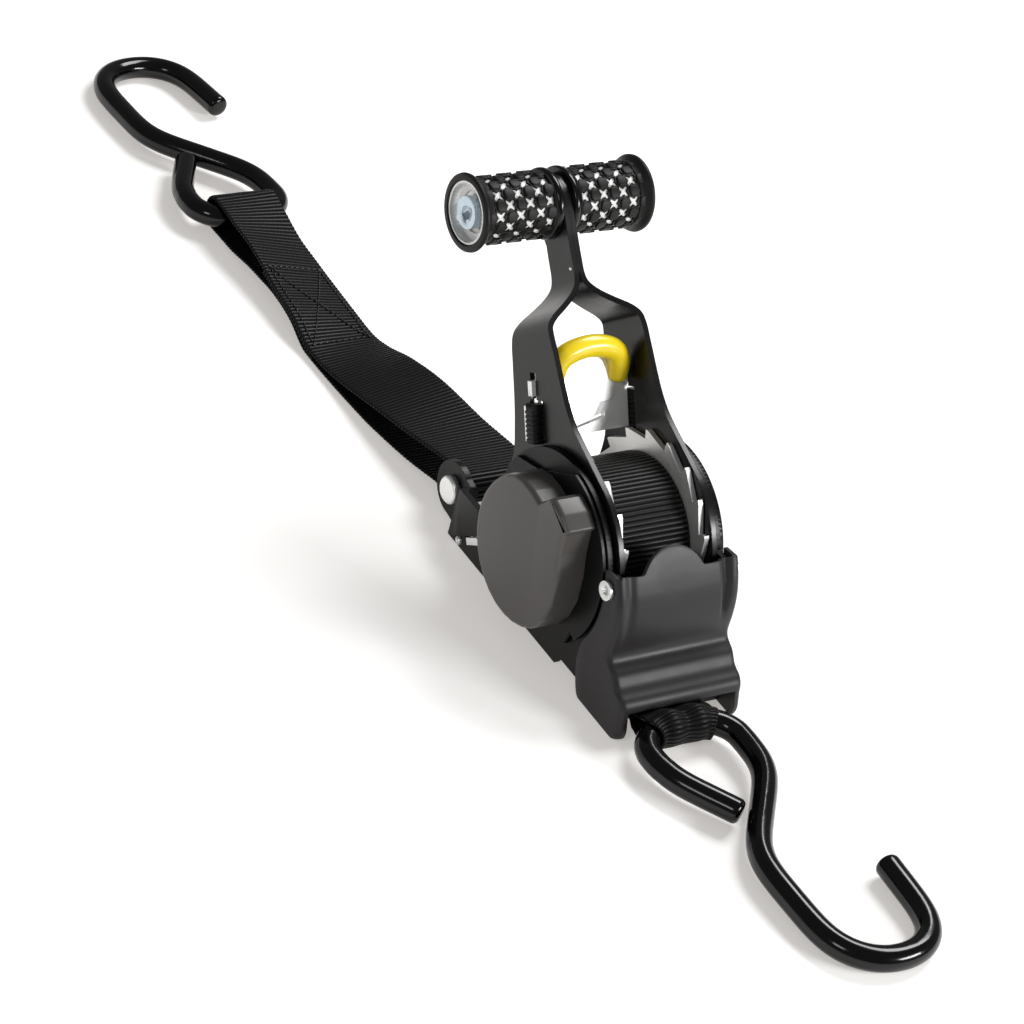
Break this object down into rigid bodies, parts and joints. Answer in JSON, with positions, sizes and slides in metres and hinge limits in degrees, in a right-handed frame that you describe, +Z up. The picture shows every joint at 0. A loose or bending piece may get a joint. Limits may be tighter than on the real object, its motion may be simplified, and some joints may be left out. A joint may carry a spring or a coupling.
{
  "type": "ratchet tie down",
  "caption": "Self-retracting ratchet tie-down: T-handle ratchet on a steel frame, spring housing, press-release lever, sewn fixed strap and an S-hook at each end.",
  "frame": {"origin": "underside of the frame, straight below the spool axis, on the surface the ratchet rests on", "axes": "+X towards the retracting front hook, +Z up, the spool turns about Y with the spring housing on the -Y side"},
  "size_m": [0.6854, 0.088, 0.1684],
  "materials": {
    "black_steel": "satin black coated steel",
    "dark_plastic": "matte dark grey moulding",
    "bright_zinc": "bright zinc plate",
    "grip_rubber": "matte black rubber",
    "yellow_plastic": "glossy yellow moulding",
    "black_webbing": "ribbed black polyester webbing",
    "vinyl_dip": "glossy black dip",
    "bronze": "sintered bronze",
    "spring_steel": "blued spring steel"
  },
  "bodies": {
    "frame": {"base_frame": "black_steel", "rear_pin": "bright_zinc", "rear_bush": "dark_plastic", "spool_bushes": "bronze", "lever_pins": "bright_zinc", "housing_cover": "black_steel", "housing_base": "black_steel", "housing_rivets": "bright_zinc", "recoil_spring": "spring_steel", "spring_post": "bright_zinc", "side_cap": "black_steel", "anchor_bar": "bright_zinc", "lock_springs": "bright_zinc"},
    "spool": {"spool_shaft": "bright_zinc", "ratchet_wheel_left": "bright_zinc", "ratchet_wheel_right": "bright_zinc", "webbing_roll": "black_webbing", "end_washer": "bright_zinc", "end_clip": "bright_zinc"},
    "handle": {"handle_arm_left": "black_steel", "handle_arm_right": "black_steel", "neck_rivet": "bright_zinc", "grip_tube": "bright_zinc", "grip_sleeve_left": "grip_rubber", "grip_sleeve_right": "grip_rubber", "grip_rings": "dark_plastic", "grip_cups": "bright_zinc", "grip_bolt": "bright_zinc", "grip_nut": "bright_zinc", "spring_sleeves": "dark_plastic", "spring_guides": "bright_zinc"},
    "drive_pawl": {"drive_pawl": "bright_zinc", "finger_pull": "yellow_plastic", "pull_rivets": "bright_zinc"},
    "release_lever": {"release_lever": "dark_plastic"},
    "release_link": {"release_link": "bright_zinc"},
    "lock_pawl": {"lock_pawl": "bright_zinc"},
    "rear_strap": {"rear_strap": "black_webbing"},
    "rear_hook": {"rear_hook": "bright_zinc", "rear_hook_coating": "vinyl_dip"},
    "front_strap": {"front_strap": "black_webbing"},
    "front_hook": {"front_hook": "bright_zinc", "front_hook_coating": "vinyl_dip"}
  },
  "joints": [
    {"name": "spool_spin", "type": "hinge", "parent": "frame", "child": "spool", "pos_m": [0, 0, 0.045], "axis": [0, 1, 0], "range_deg": [-40, 0], "stiffness_Nm_per_rad": 0.02, "springref_deg": 34.38},
    {"name": "handle_pivot", "type": "hinge", "parent": "frame", "child": "handle", "pos_m": [0, 0, 0.045], "axis": [0, 1, 0], "range_deg": [-40, 60]},
    {"name": "drive_pawl_slide", "type": "slide", "parent": "handle", "child": "drive_pawl", "axis": [-0.4939, 0, 0.8695], "range_m": [-0.0026, 0.003], "stiffness_N_per_m": 400},
    {"name": "release_lever_tilt", "type": "hinge", "parent": "frame", "child": "release_lever", "pos_m": [0.0448, 0, 0.0568], "axis": [0, 1, 0], "range_deg": [-2.75, 1], "stiffness_Nm_per_rad": 1.5},
    {"name": "release_link_slide", "type": "slide", "parent": "frame", "child": "release_link", "axis": [-1, 0, 0], "range_m": [-0.0027, 0.00105]},
    {"name": "lock_pawl_slide", "type": "slide", "parent": "frame", "child": "lock_pawl", "axis": [-0.8131, 0, -0.5821], "range_m": [-0.0033, 0.0013]},
    {"name": "rear_strap_swing", "type": "hinge", "parent": "frame", "child": "rear_strap", "pos_m": [-0.079, 0, 0.015], "axis": [0, 1, 0], "range_deg": [0, 12]},
    {"name": "rear_hook_swing", "type": "hinge", "parent": "rear_strap", "child": "rear_hook", "pos_m": [-0.3062, -0.007, 0.0099], "axis": [-0.0279, 0.9996, -0.0009], "range_deg": [0, 12]},
    {"name": "front_strap_payout", "type": "slide", "parent": "frame", "child": "front_strap", "axis": [1, 0, 0], "range_m": [0, 0.0248]},
    {"name": "front_hook_swing", "type": "hinge", "parent": "front_strap", "child": "front_hook", "pos_m": [0.0825, -0.0054, 0.0089], "axis": [0, -1, 0], "range_deg": [0, 12]}
  ],
  "couplings": [
    {"joint": "release_link_slide", "follows": "release_lever_tilt", "m_per_rad": 0.0543},
    {"joint": "lock_pawl_slide", "follows": "release_lever_tilt", "m_per_rad": 0.0668},
    {"joint": "front_strap_payout", "follows": "spool_spin", "m_per_rad": -0.0353}
  ]
}
